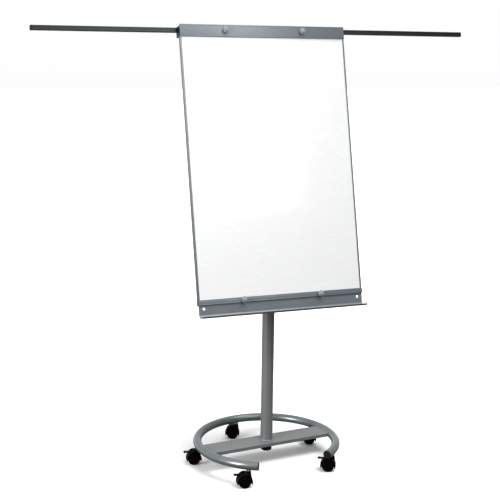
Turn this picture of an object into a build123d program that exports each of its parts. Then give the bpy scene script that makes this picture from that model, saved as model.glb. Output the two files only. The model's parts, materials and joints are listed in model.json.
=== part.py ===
from build123d import *
import os
from math import cos, radians, sin

# Mobile flipchart easel: a round castor base, a telescopic column, a tilting board with clamp bars,
# a pen tray and two pull-out arms. Millimetres. +Z is up, +X runs along the board to the right as
# the reader sees it, and the board faces -Y. The origin is on the floor, on the column's axis.

# Base ring and beam, drawn in a frame turned about the column against the board
BASE_TURN = 5.0
RING_RADIUS = 287.0
RING_TUBE_R = 17.0
RING_WALL = 2.0
RING_HEIGHT = 88.5
RING_START = -59.0
RING_SWEEP = 295.0
CAP_ANGLE = 0.7
SPIGOT_ANGLE = 2.6
BEAM_WIDTH = 98.0
BEAM_HEIGHT = 16.0
BEAM_WALL = 2.0
BEAM_TOP = 94.5
VENT_HOLES = [(-262.0, 8.0), (-259.0, -15.0)]
VENT_RADIUS = 2.5
SCREW_PLACE = (36.8, 12.0)
BEAM_EDGE_R = 2.5
CONTACT = 0.05

# What holds the column to the beam
FOOT_PLUG_LENGTH = 20.0
FOOT_BOLT_R = 6.0
FOOT_HEAD_R = 10.5
FOOT_HEAD_HEIGHT = 7.5
FOOT_BOLT_SHORT = 3.0
FOOT_WASHER_R = 20.0
FOOT_WASHER_THICK = 2.5
FOOT_CAP_R = 22.0
FOOT_CAP_DEPTH = 28.0
FOOT_CAP_WALL = 1.6
PLACE_SCREW_R = 2.0
PLACE_HEAD_R = 3.6
PLACE_HEAD_HEIGHT = 2.6
PLACE_SCREW_REACH = 6.0

# Column
COLUMN_R = 25.0
COLUMN_WALL = 2.0
COLUMN_TOP = 896.5
MAST_R = 20.0
MAST_WALL = 2.0
MAST_BOTTOM = 426.5
MAST_TOP = 1026.5
PLUG_LIP = 4.0
TOP_PLUG_DEPTH = 30.0
BUSH_LENGTH = 40.0
BUSH_LIP = 3.0
RUN_FIT = 0.05
PRESS_GAP = 0.03
BODY_GAP = 0.35
BED_GAP = 0.1
RAIL_GAP = 0.2
LOCK_HEIGHT = 880.5
LOCK_SHANK_R = 4.0
COLLAR_R = 33.0
COLLAR_LOW = 18.0
COLLAR_LIP = 6.0
LOCK_BOSS_R = 11.0
LOCK_BOSS_END = 43.0
LOCK_NECK_R = 9.0
LOCK_KNOB_R = 22.0
LOCK_KNOB_START = 50.0
LOCK_KNOB_HEIGHT = 14.0

# Swivel head and tilt hinge
HINGE_HEIGHT = 1076.5
HEAD_R = 22.0
HEAD_PIN_R = 12.0
HINGE_BOLT_R = 5.0
EAR_INSIDE = 24.0
EAR_THICK = 3.0
EAR_ROUND = 14.0
HEAD_FLANGE = 36.0
HEAD_PIN_LENGTH = 30.0
TILT_HEAD_R = 9.2
TILT_HEAD_HEIGHT = 6.5
TILT_BOLT_REACH = 20.0
TILT_NECK_R = 9.5
TILT_KNOB_R = 24.0
TILT_KNOB_START = 7.0
TILT_KNOB_HEIGHT = 16.0

# Board: u runs along it, v up it, and depth goes back from its white face
TILT = 12.8
HINGE_V = 376.0
HINGE_DEPTH = 57.5
BOARD_WIDTH = 700.0
PANEL_BOTTOM = 20.0
PANEL_TOP = 1036.8
SHEET = 0.6
PANEL_THICK = 10.9
PROFILE_FACE = 7.0
PROFILE_WALL = 1.0
PROFILE_BACK = 12.0
PROFILE_FRONT = -1.1

# Top rail with two chambers, one for each arm
RAIL_DEPTH = 39.5
RAIL_TOP = 1077.5
RAIL_FRONT_WALL = 2.5
RAIL_WALL = 2.0
CHAMBER_DEPTH = 16.4
CHAMBER_HEIGHT = 20.4
ARM_V = 1065.0
ARM_DEPTH = 14.0
ARM_HEIGHT = 18.0
ARM_WALL = 1.4
ARM_REACH = 556.0
SHOE_LENGTH = 110.0
SPIGOT = 15.0
GROOVE = 1.0
GROOVE_HALF = 3.5
ARM_CAP = 10.0
ARM_CAP_EASE = 2.0
RAIL_CAP = 3.0
LIP_GAP = 0.05
LIP_THICK = 1.6
LIP_HEIGHT = 22.0
LIP_BACK = PROFILE_BACK + LIP_GAP + LIP_THICK
FRAME_SCREW_U = [-330.0, -200.0, 0.0, 200.0, 330.0]
LIP_SCREW_V = (PANEL_BOTTOM + 8.0, PANEL_TOP - 11.0)
ARM_EDGE_R = 1.0

# Tilt bracket on the panel's back
BRACKET_HALF = (90.0, 55.0)
BRACKET_SHEET = 3.0
EAR_ROOT = 48.0
BRACKET_SCREW_R = 3.0
BRACKET_HEAD_R = 6.0
BRACKET_SCREWS = [(u, v) for u in (-75.0, 75.0) for v in (HINGE_V - 41, HINGE_V, HINGE_V + 41)]

# Clamp bars and their knobs
CLAMP_FRONT = -6.0
CLAMP_BACK = -1.6
CLAMP_SHEET = 1.5
CLAMP_FOLD_R = 1.4
TOP_CLAMP = (1035.0, 1082.7)
BOTTOM_CLAMP = (0.0, 18.5)
KNOB_U = 163.0
TOP_KNOB_V = 1061.0
BOTTOM_KNOB_V = 11.0
KNOB_R = 13.5
KNOB_HEIGHT = 12.0
KNOB_CROWN = 6.0
KNOB_CROWN_R = 7.0
KNOB_FOOT_R = 8.0
KNOB_FOOT = 3.0
KNOB_ROOF = 1.5
KNOB_LOBES = 8
STAR_LOBES = 6
STUD_R = 3.0
STUD_SLACK = 0.35
STUD_FREE = -22.0

# Pen tray and bottom rail
TRAY_WIDTH = 698.0
TRAY_SHEET = 1.5
TRAY_DROP = 49.0
TRAY_REACH = 40.0
TRAY_LIP = (6.0, 7.0)
TRAY_BENDS = [13.0, 6.0]
TRAY_HOLE = (328.0, -14.0)
TRAY_HOLE_R = 5.0
TRAY_SCREW_U = [-280.0, -60.0, 60.0, 280.0]
TRAY_SCREW_V = 7.0
BOTTOM_RAIL_LOW = -2.0
BOTTOM_RAIL_CAP = 1.5

# Castors: angle round the ring, and the direction in which each wheel trails
CASTORS = {
    "front_left": (-131.6, 166.0),
    "front_right": (-48.4, 146.0),
    "side_left": (162.2, 163.0),
    "side_right": (17.8, 158.0),
    "rear": (90.0, 152.0),
}
BRAKED = ["front_left", "front_right", "side_left"]
WHEEL_R = 25.0
WHEEL_SHOULDER = 6.0
TRAIL = 16.0
HOOD_R = 31.5
DOME_PLACE = (15.0, 36.0)
DOME_R = 27.5
WELL_R = 27.0
HOOD_HALF = 21.0
WEB_HALF = 4.0
WHEEL_INSIDE = 4.5
WHEEL_OUTSIDE = 20.5
AXLE_R = 4.0
HOOD_LOW = 17.5
BOSS_R = 10.0
BOSS_TOP = 66.5
STEM_R = 5.5
STEM_THREAD_R = 4.9
STEM_THREAD_SHORT = 6.0
STEM_LOW = 52.4
STEM_HEX_R = 9.5
PEDAL_PIVOT = (26.0, 53.9)
PEDAL_HALF = 9.0
PEDAL_TIP = TRAIL + HOOD_R + 11.0
# Pedal outline: its underside and its top by the pivot, and its tread from the tip
PEDAL_UNDER = [(-5.0, -1.6), (-3.0, -2.9), (2.0, -2.9), (8.0, -2.2)]
PEDAL_TREAD = [(-9.0, -1.2), (-6.0, -2.2), (0.0, -2.0), (0.0, 2.0), (-6.0, 2.4), (-9.0, 1.4)]
PEDAL_OVER = [(8.0, 1.4), (1.0, 2.4), (-5.0, 1.6)]
SLOT_GAP = 0.5
SLOT_LOW = (20.0, 46.5)
TRUNNION_R = 2.0
TRUNNION_REACH = 4.0

# Screws: frame and bracket ones enter from the back, tray ones from the front
SCREW_R = 1.5
SCREW_HEAD_R = 3.6
SCREW_HEAD = 2.4
SCREW_REACH = 7.0
SCREW_HOLE = 5.2
BRACKET_HEAD = 3.6
BRACKET_SCREW_REACH = 10.0
BRACKET_SCREW_HOLE = 7.2
TRAY_HEAD_R = 4.0
TRAY_SCREW_REACH = 8.0
OVERLAP = 1.0
os.makedirs("parts", exist_ok=True)


def save(builder, name):
    """Label a finished piece and write it as its own file."""
    builder.part.label = name
    export_step(builder.part, f"parts/{name}.step")


# ---------------------------------------------------------------- planes

base_plane = Plane.XY.rotated((0, 0, BASE_TURN))
up_board = Vector(0, sin(radians(TILT)), cos(radians(TILT)))
into_board = Vector(0, cos(radians(TILT)), -sin(radians(TILT)))
hinge_point = Vector(0, 0, HINGE_HEIGHT)
board_origin = hinge_point - up_board * HINGE_V - into_board * HINGE_DEPTH


def base_at(x, y, z):
    """A level plane at a point of the base's turned frame."""
    point = base_plane.from_local_coords(Vector(x, y, z))
    return Plane(origin=point, x_dir=base_plane.x_dir, z_dir=(0, 0, 1))


def radial_plane(angle):
    """A vertical plane through the column's axis: local x outwards, local y up."""
    turn = radians(angle + BASE_TURN)
    return Plane(origin=(0, 0, 0), x_dir=(cos(turn), sin(turn), 0), z_dir=(sin(turn), -cos(turn), 0))


def board_point(u, v, depth):
    """A point of the board from its own three coordinates."""
    return board_origin + Vector(1, 0, 0) * u + up_board * v + into_board * depth


def front_plane(u, v, depth):
    """A plane parallel to the white face whose normal points at the reader."""
    return Plane(origin=board_point(u, v, depth), x_dir=(1, 0, 0), z_dir=into_board * -1)


def section_plane(u):
    """A plane across the board at u: local x is depth, local y is v, normal along +u."""
    return Plane(origin=board_point(u, 0, 0), x_dir=into_board, z_dir=(1, 0, 0))


def side_plane(name):
    """A castor's upright plane: origin on the floor under the stem, local x the trail, local y up."""
    angle, heading = CASTORS[name]
    place = base_plane.from_local_coords(
        Vector(RING_RADIUS * cos(radians(angle)), RING_RADIUS * sin(radians(angle)), 0)
    )
    turn = radians(heading + BASE_TURN)
    return Plane(origin=place, x_dir=(cos(turn), sin(turn), 0), z_dir=(sin(turn), -cos(turn), 0))


# ---------------------------------------------------------------- shapes used often

def turned(plane, *steps):
    """Stack round steps (radius, from, to) along a plane's normal in the open part."""
    for radius, low, high in steps:
        with BuildSketch(plane.offset(low)) as step:
            Circle(radius)
        extrude(step.sketch, amount=high - low)


def drilled(plane, radius, low, high):
    """Cut a round hole along a plane's normal from low to high."""
    with BuildSketch(plane.offset(low)) as hole:
        Circle(radius)
    extrude(hole.sketch, amount=high - low, mode=Mode.SUBTRACT)


def slab(u_low, u_high, points, mode=Mode.ADD):
    """Extrude a straight-sided outline, given as (depth, v) points, along the board."""
    with BuildSketch(section_plane(u_low)) as outline:
        with BuildLine():
            Polyline(*points, close=True)
        make_face()
    extrude(outline.sketch, amount=u_high - u_low, mode=mode)


def block(u_low, u_high, depth_low, depth_high, v_low, v_high, mode=Mode.ADD):
    """A rectangular bar along the board."""
    corners = [(depth_low, v_low), (depth_high, v_low), (depth_high, v_high), (depth_low, v_high)]
    slab(u_low, u_high, corners, mode)


def lobed_knob(plane, radius, height, lobes):
    """A moulded knob with round lobes and a domed edge, standing on its plane."""
    lobe_r = radius * 0.28
    with BuildSketch(plane) as outline:
        Circle(radius * 0.84)
        with PolarLocations(radius - lobe_r, lobes):
            Circle(lobe_r)
    extrude(outline.sketch, amount=height)
    top_face = faces().sort_by(Axis(plane.origin, plane.z_dir))[-1]
    chamfer(top_face.edges(), length=1.2)


# ---------------------------------------------------------------- base

def stem_places():
    """Level planes on the floor under the five castor stems."""
    for angle, heading in CASTORS.values():
        yield base_at(RING_RADIUS * cos(radians(angle)), RING_RADIUS * sin(radians(angle)), 0)


def make_ring():
    with BuildPart() as base_ring:
        with BuildSketch(radial_plane(RING_START)):
            with Locations((RING_RADIUS, RING_HEIGHT)):
                Circle(RING_TUBE_R)
                Circle(RING_TUBE_R - RING_WALL, mode=Mode.SUBTRACT)
        revolve(axis=Axis.Z, revolution_arc=RING_SWEEP)
        for place in stem_places():
            drilled(place, STEM_R - 0.4, RING_HEIGHT - RING_TUBE_R - 2, RING_HEIGHT - 5)
    save(base_ring, "base_ring")


def make_ring_caps():
    """Plugs whose discs cover the tube's ends and whose spigots follow the tube inwards."""
    with BuildPart() as caps:
        for angle, turn in ((RING_START, 1), (RING_START + RING_SWEEP, -1)):
            with BuildSketch(radial_plane(angle - CAP_ANGLE * turn)):
                with Locations((RING_RADIUS, RING_HEIGHT)):
                    Circle(RING_TUBE_R)
            revolve(axis=Axis.Z, revolution_arc=CAP_ANGLE * turn)
            with BuildSketch(radial_plane(angle)):
                with Locations((RING_RADIUS, RING_HEIGHT)):
                    Circle(RING_TUBE_R - RING_WALL - PRESS_GAP)
            revolve(axis=Axis.Z, revolution_arc=SPIGOT_ANGLE * turn)
    save(caps, "ring_end_caps")


def make_beam():
    """A flat tube across the ring, its ends coped to the ring's round side."""
    length = 2 * RING_RADIUS
    low = BEAM_TOP - BEAM_HEIGHT
    with BuildPart() as cross_beam:
        with BuildSketch(base_at(0, 0, low)):
            Rectangle(length, BEAM_WIDTH)
        extrude(amount=BEAM_HEIGHT)
        fillet(cross_beam.edges().filter_by(Axis((0, 0, 0), base_plane.x_dir)), radius=BEAM_EDGE_R)
        with BuildSketch(base_at(0, 0, low + BEAM_WALL)):
            Rectangle(length, BEAM_WIDTH - 2 * BEAM_WALL)
        extrude(amount=BEAM_HEIGHT - 2 * BEAM_WALL, mode=Mode.SUBTRACT)
        with BuildSketch(base_at(0, 0, low)):
            Circle(length)
            Circle(RING_RADIUS, mode=Mode.SUBTRACT)
        extrude(amount=BEAM_HEIGHT, mode=Mode.SUBTRACT)
        with BuildSketch(radial_plane(0)):
            with Locations((RING_RADIUS, RING_HEIGHT)):
                Circle(RING_TUBE_R + RUN_FIT)
        revolve(axis=Axis.Z, mode=Mode.SUBTRACT)
        drilled(base_plane, FOOT_BOLT_R + BODY_GAP, low, BEAM_TOP)
        drilled(base_at(*SCREW_PLACE, 0), PLACE_SCREW_R + CONTACT, BEAM_TOP - BEAM_WALL, BEAM_TOP)
        for x, y in VENT_HOLES:
            drilled(base_at(x, y, 0), VENT_RADIUS, BEAM_TOP - BEAM_WALL, BEAM_TOP)
    save(cross_beam, "cross_beam")


def make_foot():
    """What holds the column to the beam: plug, bolt, washer, cap and locating screw."""
    low = BEAM_TOP - BEAM_HEIGHT
    inside = COLUMN_R - COLUMN_WALL
    with BuildPart() as plug:
        turned(base_plane, (inside - PRESS_GAP, BEAM_TOP + CONTACT, BEAM_TOP + FOOT_PLUG_LENGTH))
        drilled(base_plane, FOOT_BOLT_R + PRESS_GAP, BEAM_TOP, BEAM_TOP + FOOT_PLUG_LENGTH)
    save(plug, "column_foot_plug")
    with BuildPart() as washer:
        turned(base_plane, (FOOT_WASHER_R, low - FOOT_WASHER_THICK, low - CONTACT))
        drilled(base_plane, FOOT_BOLT_R + BODY_GAP, low - FOOT_WASHER_THICK, low)
    save(washer, "foot_washer")
    head_top = low - FOOT_WASHER_THICK - CONTACT
    with BuildPart() as bolt:
        with BuildSketch(base_plane.offset(head_top - FOOT_HEAD_HEIGHT)):
            RegularPolygon(radius=FOOT_HEAD_R, side_count=6)
        extrude(amount=FOOT_HEAD_HEIGHT)
        turned(base_plane, (FOOT_BOLT_R, head_top, BEAM_TOP + FOOT_PLUG_LENGTH - FOOT_BOLT_SHORT))
    save(bolt, "foot_bolt")
    with BuildPart() as cap:
        turned(base_plane, (FOOT_CAP_R, low - FOOT_CAP_DEPTH, low - CONTACT))
        drilled(base_plane, FOOT_CAP_R - FOOT_CAP_WALL, low - FOOT_CAP_DEPTH + FOOT_CAP_WALL, low)
        fillet(cap.edges().filter_by(GeomType.CIRCLE).group_by(Axis.Z)[0], radius=FOOT_CAP_WALL - BED_GAP)
    save(cap, "foot_cap")
    place = base_at(*SCREW_PLACE, BEAM_TOP)
    with BuildPart() as screw:
        turned(place, (PLACE_SCREW_R, -PLACE_SCREW_REACH, OVERLAP),
               (PLACE_HEAD_R, CONTACT, PLACE_HEAD_HEIGHT))
    save(screw, "base_locating_screw")


def make_stems():
    """Five plain stems, each with a hexagon under the ring and a thread inside it."""
    under = RING_HEIGHT - RING_TUBE_R - BED_GAP
    with BuildPart() as stems:
        for place in stem_places():
            turned(place, (STEM_R, STEM_LOW, under),
                   (STEM_THREAD_R, under - OVERLAP, RING_HEIGHT - STEM_THREAD_SHORT))
            with BuildSketch(place.offset(BOSS_TOP + BODY_GAP)):
                RegularPolygon(radius=STEM_HEX_R, side_count=6)
            extrude(amount=under - BOSS_TOP - BODY_GAP)
    save(stems, "castor_stems")


# ---------------------------------------------------------------- castors

def castor_disc(side, place, radius, low, high, mode=Mode.ADD):
    """A round slice of a castor, from low to high along its axle's direction."""
    with BuildSketch(side.offset(low)) as disc:
        with Locations(place):
            Circle(radius)
    extrude(disc.sketch, amount=high - low, mode=mode)


def castor_box(side, place, size, half, mode):
    """A box in a castor's upright plane, given by its lower corner, size and half width."""
    with BuildSketch(side.offset(-half)) as outline:
        with Locations((place[0] + size[0] / 2, place[1] + size[1] / 2)):
            Rectangle(*size)
    extrude(outline.sketch, amount=2 * half, mode=mode)


def make_housing(name):
    """Tall hood over both wheels, with a web between them, a stem boss and, if braked, a slot."""
    side = side_plane(name)
    foot = Plane(origin=side.origin, x_dir=side.x_dir, z_dir=(0, 0, 1))
    hub = (TRAIL, WHEEL_R)
    with BuildPart() as housing:
        castor_disc(side, hub, HOOD_R, -HOOD_HALF, HOOD_HALF)
        castor_disc(side, DOME_PLACE, DOME_R, -HOOD_HALF, HOOD_HALF)
        turned(foot, (BOSS_R, WHEEL_R, BOSS_TOP))
        if name in BRAKED:
            castor_box(side, SLOT_LOW, (2 * HOOD_R, HOOD_R), PEDAL_HALF + SLOT_GAP, Mode.SUBTRACT)
            reach = PEDAL_HALF + TRUNNION_REACH + SLOT_GAP
            castor_disc(side, PEDAL_PIVOT, TRUNNION_R + RUN_FIT, -reach, reach, Mode.SUBTRACT)
        for low, high in ((-HOOD_HALF, -WEB_HALF), (WEB_HALF, HOOD_HALF)):
            castor_disc(side, hub, WELL_R, low, high, Mode.SUBTRACT)
        under = (TRAIL - 2 * HOOD_R, HOOD_LOW - HOOD_R)
        castor_box(side, under, (4 * HOOD_R, HOOD_R), HOOD_HALF, Mode.SUBTRACT)
        drilled(foot, STEM_R + RUN_FIT, STEM_LOW - BODY_GAP, BOSS_TOP)
        castor_disc(side, hub, AXLE_R + RUN_FIT, -HOOD_HALF, HOOD_HALF, Mode.SUBTRACT)
    save(housing, f"castor_{name}_housing")


def make_wheels(name):
    """Two wheels moulded on one axle, each with a rounded shoulder and a dished outer side."""
    side = side_plane(name)
    hub = (TRAIL, WHEEL_R)
    dish = WHEEL_R - WHEEL_SHOULDER - 3
    with BuildPart() as wheels:
        for low, high, dish_low, dish_high in (
            (-WHEEL_OUTSIDE, -WHEEL_INSIDE, -WHEEL_OUTSIDE, -WHEEL_OUTSIDE + 1.5),
            (WHEEL_INSIDE, WHEEL_OUTSIDE, WHEEL_OUTSIDE - 1.5, WHEEL_OUTSIDE),
        ):
            castor_disc(side, hub, WHEEL_R, low, high)
            castor_disc(side, hub, dish, dish_low, dish_high, Mode.SUBTRACT)
        across = Axis(side.origin, side.z_dir)
        rims = wheels.edges().filter_by(GeomType.CIRCLE).filter_by(lambda e: abs(e.radius - WHEEL_R) < 0.01)
        ordered = rims.sort_by(across)
        fillet([ordered[0], ordered[-1]], radius=WHEEL_SHOULDER)
        castor_disc(side, hub, AXLE_R, -WHEEL_INSIDE - 1, WHEEL_INSIDE + 1)
    save(wheels, f"castor_{name}_wheel_pair")


def make_pedal(name):
    """Brake lever: a tread that leaves the hood's slot, a nose over the wheels and two trunnions."""
    side = side_plane(name)
    x, y = PEDAL_PIVOT
    corners = [(x + dx, y + dy) for dx, dy in PEDAL_UNDER]
    corners += [(PEDAL_TIP + dx, y + dy) for dx, dy in PEDAL_TREAD]
    corners += [(x + dx, y + dy) for dx, dy in PEDAL_OVER]
    with BuildPart() as pedal:
        with BuildSketch(side.offset(-PEDAL_HALF)) as outline:
            with BuildLine():
                Polyline(*corners, close=True)
            make_face()
        extrude(outline.sketch, amount=2 * PEDAL_HALF)
        reach = PEDAL_HALF + TRUNNION_REACH
        castor_disc(side, PEDAL_PIVOT, TRUNNION_R, -reach, reach)
    save(pedal, f"castor_{name}_brake_pedal")


# ---------------------------------------------------------------- column

def make_column():
    """Outer tube, its top bush and collar, and the inner tube with its bushes."""
    inside = COLUMN_R - COLUMN_WALL
    lock = Plane(origin=(0, 0, LOCK_HEIGHT), x_dir=(1, 0, 0), z_dir=(0, 1, 0))
    level = Plane.XY
    with BuildPart() as outer_tube:
        turned(level, (COLUMN_R, BEAM_TOP + CONTACT, COLUMN_TOP))
        drilled(level, inside, BEAM_TOP, COLUMN_TOP)
        drilled(lock, LOCK_SHANK_R + BODY_GAP, 0, COLUMN_R)
    save(outer_tube, "column_outer_tube")
    with BuildPart() as bush:
        turned(level, (inside - PRESS_GAP, COLUMN_TOP - BUSH_LENGTH, COLUMN_TOP + CONTACT),
               (COLUMN_R, COLUMN_TOP + CONTACT, COLUMN_TOP + BUSH_LIP))
        drilled(level, MAST_R + RUN_FIT, COLUMN_TOP - BUSH_LENGTH, COLUMN_TOP + BUSH_LIP)
        drilled(lock, LOCK_SHANK_R + BODY_GAP, 0, COLUMN_R)
    save(bush, "column_top_bush")
    with BuildPart() as collar:
        turned(level, (COLLAR_R, LOCK_HEIGHT - COLLAR_LOW, COLUMN_TOP + COLLAR_LIP))
        turned(lock, (LOCK_BOSS_R, MAST_R, LOCK_BOSS_END))
        drilled(level, COLUMN_R + PRESS_GAP, LOCK_HEIGHT - COLLAR_LOW, COLUMN_TOP + BUSH_LIP + CONTACT)
        drilled(level, MAST_R + BODY_GAP, COLUMN_TOP, COLUMN_TOP + COLLAR_LIP)
        drilled(lock, LOCK_SHANK_R + RUN_FIT, 0, LOCK_BOSS_END)
    save(collar, "height_clamp_collar")
    with BuildPart() as knob:
        turned(lock, (LOCK_SHANK_R, MAST_R + BODY_GAP, LOCK_KNOB_START),
               (LOCK_NECK_R, LOCK_BOSS_END + BODY_GAP, LOCK_KNOB_START + 1))
        lobed_knob(lock.offset(LOCK_KNOB_START), LOCK_KNOB_R, LOCK_KNOB_HEIGHT, STAR_LOBES)
    save(knob, "height_lock_knob")
    with BuildPart() as mast:
        turned(level, (MAST_R, MAST_BOTTOM, MAST_TOP))
        drilled(level, MAST_R - MAST_WALL, MAST_BOTTOM, MAST_TOP)
    save(mast, "column_inner_tube")
    with BuildPart() as guide:
        turned(level, (inside - RUN_FIT, MAST_BOTTOM, MAST_BOTTOM + BUSH_LENGTH))
        drilled(level, MAST_R + PRESS_GAP, MAST_BOTTOM, MAST_BOTTOM + BUSH_LENGTH)
    save(guide, "mast_guide_bush")
    with BuildPart() as top_plug:
        turned(level, (MAST_R - MAST_WALL - PRESS_GAP, MAST_TOP - TOP_PLUG_DEPTH, MAST_TOP + OVERLAP),
               (MAST_R, MAST_TOP + CONTACT, MAST_TOP + PLUG_LIP),
               (HEAD_PIN_R, MAST_TOP + PLUG_LIP - OVERLAP, MAST_TOP + HEAD_PIN_LENGTH))
    save(top_plug, "mast_top_plug")


def make_head():
    """Head that turns on the mast's pin, with the lug that the board tilts on."""
    across = Plane(origin=(0, 0, HINGE_HEIGHT), x_dir=(0, 1, 0), z_dir=(1, 0, 0))
    low = MAST_TOP + PLUG_LIP + BODY_GAP
    with BuildPart() as head:
        turned(Plane.XY, (HEAD_R, low, MAST_TOP + HEAD_FLANGE))
        with BuildSketch(across.offset(-HEAD_R)):
            Circle(EAR_ROUND)
            with Locations((0, -EAR_ROUND)):
                Rectangle(2 * EAR_ROUND, 2 * EAR_ROUND)
        extrude(amount=2 * HEAD_R)
        drilled(Plane.XY, HEAD_PIN_R + RUN_FIT, low, MAST_TOP + HEAD_PIN_LENGTH + BODY_GAP)
        drilled(across, HINGE_BOLT_R + RUN_FIT, -HEAD_R, HEAD_R)
    save(head, "swivel_head")
    with BuildPart() as washers:
        for turn in (-1, 1):
            turned(across, (EAR_ROUND, turn * (HEAD_R + 2 * CONTACT), turn * (EAR_INSIDE - CONTACT)))
        drilled(across, HINGE_BOLT_R + 2 * CONTACT, -EAR_INSIDE, EAR_INSIDE)
    save(washers, "tilt_friction_washers")
    with BuildPart() as bolt:
        outside = EAR_INSIDE + EAR_THICK
        with BuildSketch(across.offset(-outside - CONTACT)):
            RegularPolygon(radius=TILT_HEAD_R, side_count=6)
        extrude(amount=-TILT_HEAD_HEIGHT)
        turned(across, (HINGE_BOLT_R, -outside - 1, outside + TILT_BOLT_REACH))
    save(bolt, "tilt_bolt")
    with BuildPart() as knob:
        turned(across, (TILT_NECK_R, outside + BODY_GAP, outside + TILT_KNOB_START + 1))
        lobed_knob(across.offset(outside + TILT_KNOB_START), TILT_KNOB_R, TILT_KNOB_HEIGHT, STAR_LOBES)
        drilled(across, HINGE_BOLT_R + RUN_FIT, outside, outside + TILT_BOLT_REACH + BODY_GAP)
    save(knob, "tilt_knob")


# ---------------------------------------------------------------- board

def frame_screw_places():
    """Every screw through the rails' back lips."""
    return [(u, v) for v in LIP_SCREW_V for u in FRAME_SCREW_U]


def make_panel():
    """White steel face, core and back sheet, drilled for the screws from behind."""
    half = BOARD_WIDTH / 2 - PROFILE_WALL - BED_GAP
    layers = {
        "board_face_sheet": (0.0, SHEET),
        "board_core": (SHEET, PANEL_THICK - SHEET),
        "board_back_sheet": (PANEL_THICK - SHEET, PANEL_THICK),
    }
    for name, (front, back) in layers.items():
        with BuildPart() as layer:
            block(-half, half, front, back, PANEL_BOTTOM, PANEL_TOP)
            if name != "board_face_sheet":
                for u, v in BRACKET_SCREWS:
                    drilled(front_plane(u, v, PANEL_THICK), BRACKET_SCREW_R + CONTACT, 0,
                            BRACKET_SCREW_HOLE)
                for u, v in frame_screw_places():
                    if abs(u) < half:
                        drilled(front_plane(u, v, PANEL_THICK), SCREW_R + CONTACT, 0, SCREW_HOLE)
        save(layer, name)


def make_side_profiles():
    """Two U-shaped edge profiles gripping the panel's long sides."""
    edge = BOARD_WIDTH / 2
    with BuildPart() as profiles:
        for low, high, grip_low, grip_high in (
            (-edge, -edge + PROFILE_FACE, -edge + PROFILE_WALL, -edge + PROFILE_FACE),
            (edge - PROFILE_FACE, edge, edge - PROFILE_FACE, edge - PROFILE_WALL),
        ):
            block(low, high, PROFILE_FRONT, PROFILE_BACK, PANEL_BOTTOM, PANEL_TOP)
            block(grip_low, grip_high, PROFILE_FRONT + PROFILE_WALL, PROFILE_BACK - PROFILE_WALL,
                  PANEL_BOTTOM, PANEL_TOP, mode=Mode.SUBTRACT)
    save(profiles, "side_profiles")


def make_top_rail():
    """Extruded rail: two arm chambers above a hollow foot, and a lip down behind the panel."""
    half = BOARD_WIDTH / 2 - RAIL_CAP
    low = PANEL_TOP + RAIL_GAP
    chamber_low = ARM_V - CHAMBER_HEIGHT / 2
    chamber_high = ARM_V + CHAMBER_HEIGHT / 2
    front_2 = RAIL_FRONT_WALL + CHAMBER_DEPTH + RAIL_WALL
    with BuildPart() as rail:
        block(-half, half, 0, RAIL_DEPTH, low, RAIL_TOP)
        for front in (RAIL_FRONT_WALL, front_2):
            block(-half, half, front, front + CHAMBER_DEPTH, chamber_low, chamber_high, mode=Mode.SUBTRACT)
        block(-half, half, RAIL_FRONT_WALL, front_2 + CHAMBER_DEPTH, low + RAIL_WALL,
              chamber_low - RAIL_WALL, mode=Mode.SUBTRACT)
        block(-half, half, LIP_BACK - LIP_THICK, LIP_BACK, low - LIP_HEIGHT, low)
        for u in (-KNOB_U, KNOB_U):
            drilled(front_plane(u, TOP_KNOB_V, RAIL_FRONT_WALL), STUD_R + RUN_FIT, 0, RAIL_FRONT_WALL)
        for u in FRAME_SCREW_U:
            drilled(front_plane(u, LIP_SCREW_V[1], LIP_BACK), SCREW_R + CONTACT, 0, LIP_THICK)
    save(rail, "top_rail")


def chamber_centre(index):
    """Depth of an arm chamber's middle: 0 is the front one, 1 the rear one."""
    return RAIL_FRONT_WALL + CHAMBER_DEPTH / 2 + index * (CHAMBER_DEPTH + RAIL_WALL)


def make_rail_caps():
    """Moulded ends of the top rail, each with the window its arm slides through."""
    edge = BOARD_WIDTH / 2
    for name, start, index in (("left", -edge, 1), ("right", edge - RAIL_CAP, 0)):
        centre = chamber_centre(index)
        half_deep = ARM_DEPTH / 2 + BODY_GAP
        half_high = ARM_HEIGHT / 2 + BODY_GAP
        with BuildPart() as cap:
            block(start, start + RAIL_CAP, 0, RAIL_DEPTH, PANEL_TOP + RAIL_GAP, RAIL_TOP)
            block(start, start + RAIL_CAP, centre - half_deep, centre + half_deep,
                  ARM_V - half_high, ARM_V + half_high, mode=Mode.SUBTRACT)
        save(cap, f"rail_end_cap_{name}")


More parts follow.
